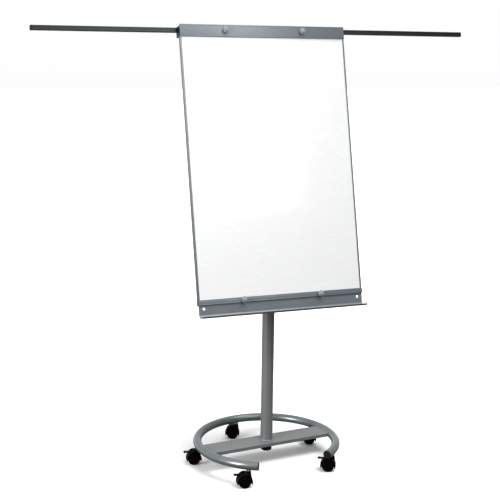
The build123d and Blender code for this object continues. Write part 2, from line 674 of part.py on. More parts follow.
def make_arms():
    """Pull-out arms: grooved tube, outer end cap, and the shoe that guides and stops it in the rail."""
    edge = BOARD_WIDTH / 2
    half = ARM_HEIGHT / 2
    bore_half = half - ARM_WALL
    for name, side, index in (("left", -1, 1), ("right", 1, 0)):
        centre = chamber_centre(index)
        front = centre - ARM_DEPTH / 2
        back = centre + ARM_DEPTH / 2
        tip = side * (edge + ARM_REACH)
        root = side * (edge - RAIL_CAP - BODY_GAP)
        ends = sorted((tip, root))
        with BuildPart() as arm:
            block(*ends, front, back, ARM_V - half, ARM_V + half)
            fillet(arm.edges().filter_by(Axis.X), radius=ARM_EDGE_R)
            block(*ends, front + GROOVE + ARM_WALL, back - GROOVE - ARM_WALL, ARM_V - bore_half,
                  ARM_V + bore_half, mode=Mode.SUBTRACT)
            for low, high in ((front, front + GROOVE), (back - GROOVE, back)):
                block(*ends, low, high, ARM_V - GROOVE_HALF, ARM_V + GROOVE_HALF, mode=Mode.SUBTRACT)
        save(arm, f"arm_{name}_tube")
        spigot = (front + GROOVE + ARM_WALL + PRESS_GAP, back - GROOVE - ARM_WALL - PRESS_GAP,
                  ARM_V - bore_half + PRESS_GAP, ARM_V + bore_half - PRESS_GAP)
        with BuildPart() as cap:
            outer = sorted((tip + side * RUN_FIT, tip + side * ARM_CAP))
            block(*outer, front, back, ARM_V - half, ARM_V + half)
            chamfer(cap.faces().sort_by(Axis.X)[0 if side < 0 else -1].edges(), length=ARM_CAP_EASE)
            block(*sorted((tip - side * SPIGOT, tip + side)), *spigot)
        save(cap, f"arm_{name}_end_cap")
        with BuildPart() as shoe:
            block(*sorted((root - side * SHOE_LENGTH, root - side * RUN_FIT)),
                  centre - CHAMBER_DEPTH / 2 + BODY_GAP, centre + CHAMBER_DEPTH / 2 - BODY_GAP,
                  ARM_V - CHAMBER_HEIGHT / 2 + BODY_GAP, ARM_V + CHAMBER_HEIGHT / 2 - BODY_GAP)
            block(*sorted((root - side, root + side * SPIGOT)), *spigot)
        save(shoe, f"arm_{name}_guide_shoe")


def make_bottom_rail():
    """Hollow rail under the panel with a lip up its back, and its two end caps."""
    half = BOARD_WIDTH / 2 - BOTTOM_RAIL_CAP
    top = PANEL_BOTTOM - BED_GAP
    with BuildPart() as rail:
        block(-half, half, TRAY_SHEET + CONTACT, PROFILE_BACK, BOTTOM_RAIL_LOW, top)
        block(-half, half, TRAY_SHEET + RAIL_WALL, PROFILE_BACK - RAIL_WALL, BOTTOM_RAIL_LOW + RAIL_WALL,
              top - RAIL_WALL, mode=Mode.SUBTRACT)
        block(-half, half, PROFILE_BACK - BED_GAP, LIP_BACK, BOTTOM_RAIL_LOW, top)
        block(-half, half, LIP_BACK - LIP_THICK, LIP_BACK, top, top + LIP_HEIGHT)
        for u in (-KNOB_U, KNOB_U):
            drilled(front_plane(u, BOTTOM_KNOB_V, PROFILE_BACK / 2), STUD_R + RUN_FIT, 0, PROFILE_BACK)
        for u in TRAY_SCREW_U:
            drilled(front_plane(u, TRAY_SCREW_V, PROFILE_BACK / 2), SCREW_R + CONTACT, 0, PROFILE_BACK)
        for u in FRAME_SCREW_U:
            drilled(front_plane(u, LIP_SCREW_V[0], LIP_BACK), SCREW_R + CONTACT, 0, LIP_THICK)
    save(rail, "bottom_rail")
    with BuildPart() as caps:
        for low in (-BOARD_WIDTH / 2, half):
            block(low, low + BOTTOM_RAIL_CAP, TRAY_SHEET + CONTACT, LIP_BACK, BOTTOM_RAIL_LOW, top)
    save(caps, "bottom_rail_end_caps")


def make_tray():
    """Folded tray: flange on the bottom rail, rounded heel, floor and a raised lip."""
    middle = TRAY_SHEET / 2
    with BuildPart() as tray:
        with BuildSketch(section_plane(-TRAY_WIDTH / 2)):
            with BuildLine():
                FilletPolyline((middle, BOTTOM_CLAMP[1] - 1), (middle, -TRAY_DROP), (-TRAY_REACH, -TRAY_DROP),
                               (-TRAY_REACH - TRAY_LIP[0], -TRAY_DROP + TRAY_LIP[1]), radius=TRAY_BENDS)
            trace(line_width=TRAY_SHEET)
        extrude(amount=TRAY_WIDTH)
        for u in (-TRAY_HOLE[0], TRAY_HOLE[0]):
            drilled(front_plane(u, TRAY_HOLE[1], TRAY_SHEET + 1), TRAY_HOLE_R, 0, TRAY_SHEET + 2)
        for u in (-KNOB_U, KNOB_U):
            drilled(front_plane(u, BOTTOM_KNOB_V, TRAY_SHEET + 1), STUD_R + RUN_FIT, 0, TRAY_SHEET + 2)
        for u in TRAY_SCREW_U:
            drilled(front_plane(u, TRAY_SCREW_V, TRAY_SHEET + 1), TRAY_HEAD_R + 2 * CONTACT, 0,
                    TRAY_SHEET + 2)
    save(tray, "pen_tray")
    with BuildPart() as screws:
        for u in TRAY_SCREW_U:
            place = front_plane(u, TRAY_SCREW_V, 0)
            turned(place, (TRAY_HEAD_R, -TRAY_SHEET, -BED_GAP),
                   (SCREW_R, -TRAY_SCREW_REACH, -TRAY_SHEET + BED_GAP))
    save(screws, "tray_screws")


def make_studs():
    """Four threaded studs, two for each clamp bar, rooted in the rails."""
    with BuildPart() as studs:
        for v, root in ((TOP_KNOB_V, RAIL_FRONT_WALL - BED_GAP), (BOTTOM_KNOB_V, TRAY_SHEET + RAIL_WALL)):
            for u in (-KNOB_U, KNOB_U):
                turned(front_plane(u, v, 0), (STUD_R, -root, -STUD_FREE))
    save(studs, "clamp_studs")


def make_clamp(name, v_range, knob_v):
    """A folded clamp bar and its two knobs."""
    low, high = v_range
    half = BOARD_WIDTH / 2
    with BuildPart() as bar:
        block(-half, half, CLAMP_FRONT, CLAMP_BACK, low, high)
        fillet(bar.edges().filter_by(Axis.X).group_by(Axis((0, 0, 0), into_board))[0], radius=CLAMP_FOLD_R)
        block(-half, half, CLAMP_FRONT + CLAMP_SHEET, CLAMP_BACK, low + CLAMP_SHEET, high - CLAMP_SHEET,
              mode=Mode.SUBTRACT)
        for u in (-KNOB_U, KNOB_U):
            drilled(front_plane(u, knob_v, CLAMP_BACK), STUD_R + STUD_SLACK, 0, CLAMP_BACK - CLAMP_FRONT)
    save(bar, f"{name}_clamp_bar")
    for side, u in (("left", -KNOB_U), ("right", KNOB_U)):
        seat = front_plane(u, knob_v, CLAMP_FRONT - BODY_GAP)
        with BuildPart() as knob:
            turned(seat, (KNOB_FOOT_R, 0, KNOB_FOOT + OVERLAP / 2))
            lobed_knob(seat.offset(KNOB_FOOT), KNOB_R, KNOB_HEIGHT - KNOB_FOOT, KNOB_LOBES)
            turned(seat, (KNOB_CROWN_R, KNOB_HEIGHT - OVERLAP / 2, KNOB_HEIGHT + KNOB_CROWN))
            drilled(seat, STUD_R + RUN_FIT, 0, KNOB_HEIGHT + KNOB_CROWN - KNOB_ROOF)
        save(knob, f"{name}_clamp_knob_{side}")


def make_bracket():
    """Folded steel bracket on the panel's back, its two ears reaching to the hinge bolt."""
    front = PANEL_THICK + BED_GAP
    back = front + BRACKET_SHEET
    half_width, half_height = BRACKET_HALF
    with BuildPart() as bracket:
        block(-half_width, half_width, front, back, HINGE_V - half_height, HINGE_V + half_height)
        for start in (-EAR_INSIDE - EAR_THICK, EAR_INSIDE):
            with BuildSketch(section_plane(start)):
                with BuildLine():
                    Polyline((back - 1, HINGE_V - EAR_ROOT), (HINGE_DEPTH, HINGE_V - EAR_ROUND),
                             (HINGE_DEPTH, HINGE_V + EAR_ROUND), (back - 1, HINGE_V + EAR_ROOT), close=True)
                make_face()
                with Locations((HINGE_DEPTH, HINGE_V)):
                    Circle(EAR_ROUND)
            extrude(amount=EAR_THICK)
        with BuildSketch(section_plane(-EAR_INSIDE - EAR_THICK)):
            with Locations((HINGE_DEPTH, HINGE_V)):
                Circle(HINGE_BOLT_R + 2 * CONTACT)
        extrude(amount=2 * (EAR_INSIDE + EAR_THICK), mode=Mode.SUBTRACT)
        for u, v in BRACKET_SCREWS:
            drilled(front_plane(u, v, back), BRACKET_SCREW_R + CONTACT, 0, BRACKET_SHEET)
    save(bracket, "tilt_bracket")
    with BuildPart() as screws:
        for u, v in BRACKET_SCREWS:
            turned(front_plane(u, v, back), (BRACKET_HEAD_R, -BRACKET_HEAD, -CONTACT),
                   (BRACKET_SCREW_R, -OVERLAP, BRACKET_SCREW_REACH))
    save(screws, "bracket_screws")
    with BuildPart() as small:
        for u, v in frame_screw_places():
            turned(front_plane(u, v, LIP_BACK), (SCREW_HEAD_R, -SCREW_HEAD, -CONTACT),
                   (SCREW_R, -OVERLAP, SCREW_REACH))
    save(small, "frame_screws")


# ---------------------------------------------------------------- build everything

make_ring()
make_ring_caps()
make_beam()
make_foot()
make_stems()
for castor in CASTORS:
    make_housing(castor)
    make_wheels(castor)
for castor in BRAKED:
    make_pedal(castor)
make_column()
make_head()
make_panel()
make_side_profiles()
make_top_rail()
make_rail_caps()
make_arms()
make_bottom_rail()
make_tray()
make_studs()
make_clamp("top", TOP_CLAMP, TOP_KNOB_V)
make_clamp("bottom", BOTTOM_CLAMP, BOTTOM_KNOB_V)
make_bracket()
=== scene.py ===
import json
from math import acos, asin, atan2, cos, pi, radians, sin, sqrt

import bmesh
import bpy
from mathutils import Matrix, Vector


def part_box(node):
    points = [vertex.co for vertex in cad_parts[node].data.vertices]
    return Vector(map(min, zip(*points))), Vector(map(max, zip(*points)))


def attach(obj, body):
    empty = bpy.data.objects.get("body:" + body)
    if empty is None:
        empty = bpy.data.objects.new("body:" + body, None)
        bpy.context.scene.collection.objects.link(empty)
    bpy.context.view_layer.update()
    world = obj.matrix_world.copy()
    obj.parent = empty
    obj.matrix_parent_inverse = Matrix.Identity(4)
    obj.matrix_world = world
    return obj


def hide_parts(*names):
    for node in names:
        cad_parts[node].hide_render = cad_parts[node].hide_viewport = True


# A mobile flipchart easel in metres: z is up, x runs along the board to the reader's right and the
# white face looks towards -y. The pieces take their places from the frame's boxes, joints and
# mounts; the small shapes on them are set here.

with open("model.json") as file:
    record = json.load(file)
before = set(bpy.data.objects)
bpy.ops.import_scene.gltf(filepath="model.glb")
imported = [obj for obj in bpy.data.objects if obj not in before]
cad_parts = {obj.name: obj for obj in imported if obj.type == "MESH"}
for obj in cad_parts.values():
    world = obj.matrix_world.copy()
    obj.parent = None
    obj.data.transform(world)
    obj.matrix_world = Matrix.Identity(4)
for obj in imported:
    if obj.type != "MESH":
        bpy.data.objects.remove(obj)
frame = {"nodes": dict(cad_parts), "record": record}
record = frame["record"]
nodes = frame["nodes"]
joints = {joint["name"]: joint for joint in record["behaviour"]["joints"]}
mounts = {mount["name"]: mount for mount in record["mounts"]}
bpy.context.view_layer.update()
CASTOR_NAMES = ("front_left", "front_right", "side_left", "side_right", "rear")
BRAKED = ("front_left", "front_right", "side_left")


# ---------------------------------------------------------------- materials

RANGE_SOCKETS = ("From Min", "From Max", "To Min", "To Max")


class Shader:
    """A small helper that adds and wires nodes of one material."""

    def __init__(self, name, **sockets):
        self.material = bpy.data.materials.new(name)
        self.material.use_nodes = True
        self.tree = self.material.node_tree
        self.surface = self.tree.nodes["Principled BSDF"]
        for socket, value in sockets.items():
            self.surface.inputs[socket.replace("_", " ")].default_value = value
        self.place = self.add("ShaderNodeTexCoord").outputs["Object"]

    def add(self, kind, **inputs):
        node = self.tree.nodes.new(kind)
        for socket, value in inputs.items():
            self.feed(node, socket.replace("_", " "), value)
        return node

    def feed(self, node, socket, value):
        if isinstance(value, bpy.types.NodeSocket):
            self.tree.links.new(value, node.inputs[socket])
        else:
            node.inputs[socket].default_value = value

    def stretched(self, scale):
        """Object coordinates scaled by axis, for grain that runs one way."""
        return self.add("ShaderNodeMapping", Vector=self.place, Scale=scale).outputs["Vector"]

    def noise(self, scale, detail=3.0, rough=0.5, place=None):
        """A noise whose scale counts its waves per metre."""
        node = self.add("ShaderNodeTexNoise", Vector=place or self.place, Scale=scale, Detail=detail,
                        Roughness=rough)
        return node.outputs["Fac"]

    def ramp(self, fac, stops):
        """Colours at (place, colour) stops, blended by a factor."""
        node = self.add("ShaderNodeValToRGB", Fac=fac)
        while len(node.color_ramp.elements) < len(stops):
            node.color_ramp.elements.new(0.5)
        for element, (place, colour) in zip(node.color_ramp.elements, stops):
            element.position = place
            element.color = (*colour, 1.0)
        return node.outputs["Color"]

    def ranged(self, value, low, high, from_low=0.3, from_high=0.7, kind="LINEAR"):
        """A value between from_low and from_high carried over to one between low and high."""
        node = self.add("ShaderNodeMapRange", Value=value)
        node.interpolation_type = kind
        for socket, number in zip(RANGE_SOCKETS, (from_low, from_high, low, high)):
            node.inputs[socket].default_value = number
        return node.outputs["Result"]

    def bump(self, height, strength, distance):
        node = self.add("ShaderNodeBump", Height=height, Strength=strength, Distance=distance)
        return node.outputs["Normal"]

    def finish(self, **links):
        """Wire the given sockets of the surface and hand the material over."""
        for socket, value in links.items():
            self.feed(self.surface, socket.replace("_", " "), value)
        return self.material


def shades(colour, spread):
    """Three close tones of one colour for a ramp."""
    return [(0.25, tuple(c * (1 - spread) for c in colour)), (0.5, colour),
            (0.75, tuple(min(1.0, c * (1 + spread)) for c in colour))]


def powder_coat(name, colour, rough=0.42, grain=900.0, spread=0.05, metallic=0.25):
    """Satin powder coat: fine orange peel, faint cloudy tone and fine specks."""
    shader = Shader(name, Metallic=metallic, Coat_Weight=0.15, Coat_Roughness=0.22)
    cloud = shader.noise(scale=14.0, detail=4.0)
    speck = shader.noise(scale=2600.0, detail=2.0)
    tone = shader.ramp(cloud, shades(colour, spread))
    fleck = shader.ramp(speck, [(0.42, (0.86, 0.86, 0.86)), (0.62, (1.0, 1.0, 1.0))])
    mixed = shader.add("ShaderNodeMix")
    mixed.data_type = "RGBA"
    mixed.blend_type = "MULTIPLY"
    mixed.inputs["Factor"].default_value = 0.5
    shader.tree.links.new(tone, mixed.inputs["A"])
    shader.tree.links.new(fleck, mixed.inputs["B"])
    peel = shader.bump(shader.noise(grain, detail=2.0, rough=0.4), strength=0.3, distance=0.00006)
    sheen = shader.ranged(shader.noise(scale=60.0), rough - 0.01, rough + 0.02)
    return shader.finish(Base_Color=mixed.outputs["Result"], Normal=peel, Roughness=sheen)


def anodised(name, colour, rough=0.38, along=(1.0, 60.0, 60.0)):
    """Anodised extrusion: fine draw lines along its length over a soft metallic tone."""
    shader = Shader(name, Metallic=0.7)
    lines = shader.noise(scale=40.0, detail=6.0, rough=0.7, place=shader.stretched(along))
    tone = shader.ramp(lines, shades(colour, 0.09))
    grooves = shader.bump(lines, strength=0.25, distance=0.00012)
    sheen = shader.ranged(lines, rough - 0.06, rough + 0.08)
    return shader.finish(Base_Color=tone, Normal=grooves, Roughness=sheen)


def plated(name, colour, rough=0.22, scale=500.0):
    """Zinc or chrome plating with a faint grain and dull spots."""
    shader = Shader(name, Metallic=1.0)
    grain = shader.bump(shader.noise(scale, detail=4.0, rough=0.6), strength=0.15, distance=0.00002)
    spots = shader.noise(scale=90.0)
    tone = shader.ramp(spots, shades(colour, 0.06))
    sheen = shader.ranged(spots, rough - 0.05, rough + 0.1)
    return shader.finish(Base_Color=tone, Normal=grain, Roughness=sheen)


def moulded(name, colour, rough=0.45, grain=1400.0, gloss=0.45):
    """Moulded plastic: spark-eroded texture, slight tone drift and scuffed sheen."""
    shader = Shader(name, Specular_IOR_Level=gloss)
    erosion = shader.bump(shader.noise(grain, rough=0.6), strength=0.3, distance=0.0002)
    drift = shader.noise(scale=45.0)
    tone = shader.ramp(drift, shades(colour, 0.08))
    sheen = shader.ranged(drift, rough - 0.06, rough + 0.08)
    return shader.finish(Base_Color=tone, Normal=erosion, Roughness=sheen)


def dry_wipe(name):
    """Glossy white lacquer with the faintest wipe marks and a very soft waviness."""
    shader = Shader(name, Coat_Weight=0.35, Coat_Roughness=0.08, Specular_IOR_Level=0.5)
    wipes = shader.noise(scale=5.0, detail=6.0, rough=0.65, place=shader.stretched((1.0, 0.35, 2.4)))
    tone = shader.ramp(wipes, [(0.3, (0.70, 0.704, 0.71)), (0.7, (0.708, 0.712, 0.718))])
    wave = shader.bump(shader.noise(scale=9.0, detail=2.0), strength=0.06, distance=0.0006)
    return shader.finish(Base_Color=tone, Normal=wave, Roughness=shader.ranged(wipes, 0.24, 0.3))


def fibreboard(name):
    """Raw board core: pressed fibres."""
    shader = Shader(name, Roughness=0.85)
    fibres = shader.noise(scale=300.0, detail=6.0, rough=0.7, place=shader.stretched((1.0, 1.0, 3.0)))
    tone = shader.ramp(fibres, [(0.3, (0.36, 0.27, 0.17)), (0.7, (0.52, 0.41, 0.28))])
    return shader.finish(Base_Color=tone, Normal=shader.bump(fibres, strength=0.4, distance=0.0003))


MATERIALS = {
    "frame_paint": powder_coat("ring_powder_coat", (0.212, 0.236, 0.245), rough=0.28, metallic=0.6),
    "beam_paint": powder_coat("beam_powder_coat", (0.19, 0.202, 0.204)),
    "column_paint": powder_coat("column_powder_coat", (0.205, 0.214, 0.216), rough=0.42),
    "mast_chrome": plated("mast_chrome", (0.75, 0.76, 0.77), rough=0.12, scale=200.0),
    "clamp_paint": powder_coat("clamp_powder_coat", (0.136, 0.158, 0.182)),
    "tray_paint": powder_coat("tray_powder_coat", (0.138, 0.154, 0.173)),
    "rail_aluminium": anodised("rail_anodised", (0.16, 0.175, 0.19)),
    "arm_aluminium": anodised("arm_anodised", (0.02, 0.0245, 0.025)),
    "profile_aluminium": anodised("profile_anodised", (0.15, 0.165, 0.177), along=(60.0, 1.0, 1.0)),
    "white_steel": dry_wipe("dry_wipe_lacquer"),
    "core_board": fibreboard("fibreboard_core"),
    "back_steel": powder_coat("back_sheet_coat", (0.5, 0.51, 0.52), rough=0.5, grain=700.0, spread=0.03),
    "knob_plastic": moulded("knob_grey_plastic", (0.2, 0.24, 0.258), rough=0.4),
    "black_plastic": moulded("black_plastic", (0.006, 0.006, 0.007), rough=0.42, gloss=0.25),
    "bush_plastic": moulded("bush_plastic", (0.6, 0.6, 0.57), rough=0.5),
    "castor_plastic": moulded("castor_black_plastic", (0.0032, 0.0011, 0.0017), rough=0.4, gloss=0.04),
    "castor_tread": moulded("castor_tread", (0.003, 0.0009, 0.0015), rough=0.5, grain=700.0, gloss=0.04),
    "zinc_steel": plated("zinc_plated_steel", (0.55, 0.56, 0.57), rough=0.3),
    "bracket_paint": powder_coat("bracket_powder_coat", (0.13, 0.14, 0.15)),
}
SLOTS = {part["node"]: part["material_slot"] for part in record["subparts"]}
for node_name, node in nodes.items():
    node.data.materials.clear()
    node.data.materials.append(MATERIALS[SLOTS[node_name]])


# ---------------------------------------------------------------- places taken from the frame

def white_face_frame():
    """The board's own axes: x along it, y down it, z back from the white face."""
    mount = mounts["white_face"]
    back = -Vector(mount["axis"]).normalized()
    along = Vector((1.0, 0.0, 0.0))
    down = back.cross(along).normalized()
    return Matrix((along, down, back)).transposed().to_4x4(), Vector(mount["pos_m"])


def span(node, place):
    """Lowest and highest corner of a CAD node along the axes of a matrix."""
    inverse = place.inverted()
    points = [inverse @ vertex.co for vertex in nodes[node].data.vertices]
    low = Vector(min(point[axis] for point in points) for axis in range(3))
    high = Vector(max(point[axis] for point in points) for axis in range(3))
    return low, high


def axis_frame(position, axis, start=(0.0, 0.0, 1.0)):
    """A matrix whose z runs along an axis and whose x is as near as can be to start."""
    along = Vector(axis).normalized()
    side = Vector(start) - along * along.dot(Vector(start))
    side.normalize()
    turn = Matrix((side, along.cross(side), along)).transposed().to_4x4()
    return Matrix.Translation(position) @ turn


board_turn, board_middle = white_face_frame()
BOARD = Matrix.Translation(board_middle) @ board_turn


# ---------------------------------------------------------------- mesh building

# CAD vertices closer than this are one
SAME_POINT = 0.00002


def ring_of(count, radius, turn=0.0, lobes=0, depth=0.0):
    """Points on a circle, or on a lobed outline that dips by depth between its lobes."""
    points = []
    for index in range(count):
        angle = turn + 2 * pi * index / count
        dip = depth * (0.5 - 0.5 * cos(lobes * angle)) ** 1.4 if lobes else 0.0
        points.append(((radius - dip) * cos(angle), (radius - dip) * sin(angle)))
    return points


def skin(bm, loops, closed=False, caps=True):
    """Join equal loops of points, one after the next, into a skin."""
    rows = [[bm.verts.new(point) for point in loop] for loop in loops]
    for row, after in zip(rows, rows[1:] + (rows[:1] if closed else [])):
        for index in range(len(row)):
            following = (index + 1) % len(row)
            bm.faces.new((row[index], row[following], after[following], after[index]))
    if caps and not closed:
        bm.faces.new(rows[0])
        bm.faces.new(reversed(rows[-1]))


def turned(bm, place, outline, steps=64, lobes=0):
    """Turn an outline of (radius, height) or (radius, height, lobe depth) points about z."""
    loops = []
    for radius, height, *depth in outline:
        points = ring_of(steps, radius, lobes=lobes, depth=depth[0] if depth else 0.0)
        loops.append([place @ Vector((x, y, height)) for x, y in points])
    skin(bm, loops)


def pipe_turned(bm, place, outline, steps=64):
    """Turn a closed outline of (radius, height) points about z, for open tubes and rings."""
    loops = []
    for radius, height in outline:
        loops.append([place @ Vector((x, y, height)) for x, y in ring_of(steps, radius)])
    skin(bm, loops, closed=True)


def rounded(corners, radius, steps=4):
    """A closed outline with each corner eased over a radius."""
    outline = []
    count = len(corners)
    for index in range(count):
        corner = Vector(corners[index])
        before = Vector(corners[index - 1]) - corner
        after = Vector(corners[(index + 1) % count]) - corner
        reach = min(radius, 0.45 * before.length, 0.45 * after.length)
        start = corner + before.normalized() * reach
        end = corner + after.normalized() * reach
        for step in range(steps + 1):
            share = step / steps
            outline.append(start * (1 - share) ** 2 + corner * 2 * share * (1 - share) + end * share ** 2)
    return outline


def moved_in(outline, distance):
    """An outline moved inwards by a small distance, whichever way round it runs."""
    count = len(outline)
    area = sum(outline[index - 1].cross(outline[index]) for index in range(count))
    moved = []
    for index, point in enumerate(outline):
        way = outline[(index + 1) % count] - outline[index - 1]
        inward = Vector((-way.y, way.x)).normalized() * (1.0 if area > 0 else -1.0)
        moved.append(point + inward * distance)
    return moved


def bar(bm, place, outline, low, high, ease=0.0003):
    """Run a closed (x, y) outline along z from low to high, its end edges eased."""
    outline = [Vector(point) for point in outline]
    loops = []
    for height, inset in ((low, ease), (low + 0.3 * ease, 0.3 * ease), (low + ease, 0.0),
                          (high - ease, 0.0), (high - 0.3 * ease, 0.3 * ease), (high, ease)):
        loops.append([place @ Vector((x, y, height)) for x, y in moved_in(outline, inset)])
    skin(bm, loops)


def piece(name, bm, slot, body, replaced=(), smooth=35.0):
    """Finish a mesh as a piece that rides a body and stands for CAD nodes."""
    bmesh.ops.recalc_face_normals(bm, faces=bm.faces)
    mesh = bpy.data.meshes.new(name)
    bm.to_mesh(mesh)
    bm.free()
    mesh.polygons.foreach_set("use_smooth", [True] * len(mesh.polygons))
    mesh.set_sharp_from_angle(angle=radians(smooth))
    mesh.materials.append(MATERIALS[slot])
    shape = bpy.data.objects.new(name, mesh)
    bpy.context.collection.objects.link(shape)
    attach(shape, body)
    if replaced:
        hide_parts(*replaced)


def soften(node, width, angle=35.0):
    """Round the edges of a CAD node that stays in view, without touching its mesh."""
    shape = nodes[node]
    mesh = shape.data
    if mesh.has_custom_normals:
        with bpy.context.temp_override(object=shape, active_object=shape):
            bpy.ops.mesh.customdata_custom_splitnormals_clear()
    mesh.polygons.foreach_set("use_smooth", [True] * len(mesh.polygons))
    weld = shape.modifiers.new("weld", "WELD")
    weld.merge_threshold = SAME_POINT
    bevel = shape.modifiers.new("bevel", "BEVEL")
    bevel.width = width
    bevel.segments = 2
    bevel.limit_method = "ANGLE"
    bevel.angle_limit = radians(angle)
    bevel.miter_outer = "MITER_ARC"
    normals = shape.modifiers.new("normals", "WEIGHTED_NORMAL")
    normals.keep_sharp = False
    normals.weight = 80


# ---------------------------------------------------------------- base

ring_low, ring_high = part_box("base_ring")
TUBE_R = (ring_high.z - ring_low.z) / 2
RING_Z = (ring_high.z + ring_low.z) / 2
REAR_STEM = Vector(joints["castor_rear_swivel"]["pos_m"])
RING_R = Vector((REAR_STEM.x, REAR_STEM.y)).length


def ring_ends():
    """Angles at which the ring's open mouth begins and ends."""
    turns = sorted(atan2(vertex.co.y, vertex.co.x) for vertex in nodes["base_ring"].data.vertices)
    gaps = [(after - before, before, after) for before, after in zip(turns, turns[1:])]
    widest = max(gaps)
    return widest[2], widest[1] + 2 * pi


def tube_loop(angle, radius, count=40):
    """A circle of points across the ring's tube at an angle."""
    outward = Vector((cos(angle), sin(angle), 0.0))
    middle = outward * RING_R + Vector((0.0, 0.0, RING_Z))
    return [middle + outward * x + Vector((0.0, 0.0, y)) for x, y in ring_of(count, radius)]


def make_ring():
    """The bent tube, one smooth skin from end to end."""
    start, end = ring_ends()
    steps = 220
    bend = (end - start) / steps
    bm = bmesh.new()
    skin(bm, [tube_loop(start + bend * step, TUBE_R) for step in range(steps + 1)])
    piece("ring_tube_skin", bm, "frame_paint", "base", ["base_ring"], 50)


def make_ring_caps():
    """Pressed-in end caps with a rounded rim and a slightly domed face."""
    start, end = ring_ends()
    stand_out = 0.0032
    thick = stand_out / RING_R
    rows = ((1.0, 0.0), (1.0, 0.55), (0.97, 0.8), (0.9, 0.93), (0.7, 0.98), (0.35, 1.0), (0.05, 1.0))
    bm = bmesh.new()
    for angle, out in ((start, -thick), (end, thick)):
        skin(bm, [tube_loop(angle + out * rise, TUBE_R * share) for share, rise in rows])
    piece("ring_cap_discs", bm, "black_plastic", "base", ["ring_end_caps"])


def make_column():
    """The outer tube, its top edge eased, and the ripple of weld where it meets the beam."""
    low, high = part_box("column_outer_tube")
    radius = (high.x - low.x) / 2
    wall, outer_ease, inner_ease = 0.002, 0.0006, 0.0004
    bore = radius - wall
    outline = [(radius, low.z), (radius, high.z - outer_ease), (radius - outer_ease, high.z),
               (bore + inner_ease, high.z), (bore, high.z - inner_ease), (bore, low.z)]
    bm = bmesh.new()
    pipe_turned(bm, Matrix.Identity(4), outline, 96)
    piece("column_outer_skin", bm, "column_paint", "base", ["column_outer_tube"])
    weld_leg, weld_rise, weld_root, steps, arc = 0.0045, 1.3, 0.0015, 150, 6
    sunk_side, sunk_foot = 0.0004, 0.0002
    loops = []
    for step in range(steps):
        angle = 2 * pi * step / steps
        leg = weld_leg * (1 + 0.09 * sin(30 * angle) + 0.05 * sin(7 * angle))
        outward = Vector((cos(angle), sin(angle), 0.0))
        loop = []
        for index in range(arc + 1):
            bend = index / arc * pi / 2
            reach = radius - sunk_side + leg * (1 - sin(bend))
            rise = low.z - sunk_foot + leg * weld_rise * (1 - cos(bend))
            loop.append(outward * reach + Vector((0.0, 0.0, rise)))
        loop.append(outward * (radius - weld_root) + Vector((0.0, 0.0, low.z)))
        loops.append(loop)
    bm = bmesh.new()
    skin(bm, loops, closed=True)
    piece("column_weld_bead", bm, "column_paint", "base", (), 60)


def make_beam_welds():
    """Short weld runs where the beam's top and underside meet the ring's tube."""
    beam_low, beam_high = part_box("cross_beam")
    across = atan2(REAR_STEM.y, REAR_STEM.x) - pi / 2
    run, bead, steps = 0.095, 0.0021, 60
    half = run / 2 / RING_R
    bm = bmesh.new()
    for centre in (across, across + pi):
        for surface, lift in ((beam_high.z, 1.0), (beam_low.z, -1.0)):
            tilt = (surface - RING_Z) / TUBE_R
            reach = RING_R - TUBE_R * sqrt(max(0.0, 1 - tilt * tilt))
            loops = []
            for step in range(steps + 1):
                angle = centre - half + 2 * half * step / steps
                taper = min(1.0, 8 * min(step, steps - step) / steps + 0.25)
                size = bead * taper * (1 + 0.12 * sin(step * 1.7))
                outward = Vector((cos(angle), sin(angle), 0.0))
                base = outward * reach + Vector((0.0, 0.0, surface))
                loops.append([base + outward * size * x + Vector((0.0, 0.0, lift * size * y))
                              for x, y in ring_of(10, 1.0)])
            skin(bm, loops)
    piece("beam_weld_runs", bm, "beam_paint", "base", (), 60)


# ---------------------------------------------------------------- knobs and screws

# The thumb nut's outline from foot to button, as shares of its radius, height and radius:
# (reach, rise, depth of the dips between its lobes)
NUT_OUTLINE = (
    (0.50, 0.0, 0.0), (0.60, 0.01, 0.0), (0.60, 0.15, 0.0), (0.72, 0.19, 0.0), (0.95, 0.21, 0.10),
    (0.985, 0.25, 0.15), (1.0, 0.33, 0.17), (1.0, 0.55, 0.17), (0.975, 0.61, 0.16), (0.90, 0.655, 0.11),
    (0.80, 0.675, 0.04), (0.68, 0.67, 0.0), (0.60, 0.68, 0.0), (0.56, 0.74, 0.0), (0.53, 0.88, 0.0),
    (0.48, 0.95, 0.0), (0.36, 0.985, 0.0), (0.18, 1.0, 0.0), (0.02, 1.0, 0.0),
)
# The star knobs: how far the boss stands off the lobes, then the lobed head's front and back, as
# (share of the radius, distance from that face, depth of the dips as a share of the radius)
GRIP_BOSS = 0.008
GRIP_FRONT = ((0.50, 0.0, 0.0), (0.94, 0.0005, 0.14), (0.99, 0.0018, 0.2), (1.0, 0.004, 0.22))
GRIP_BACK = (
    (1.0, 0.005, 0.22), (0.985, 0.003, 0.2), (0.93, 0.0014, 0.15), (0.82, 0.0004, 0.07), (0.6, 0.0, 0.0),
    (0.42, 0.0, 0.0), (0.40, 0.0009, 0.0), (0.385, 0.0009, 0.0), (0.37, 0.0001, 0.0), (0.2, 0.0, 0.0),
    (0.02, 0.0, 0.0),
)


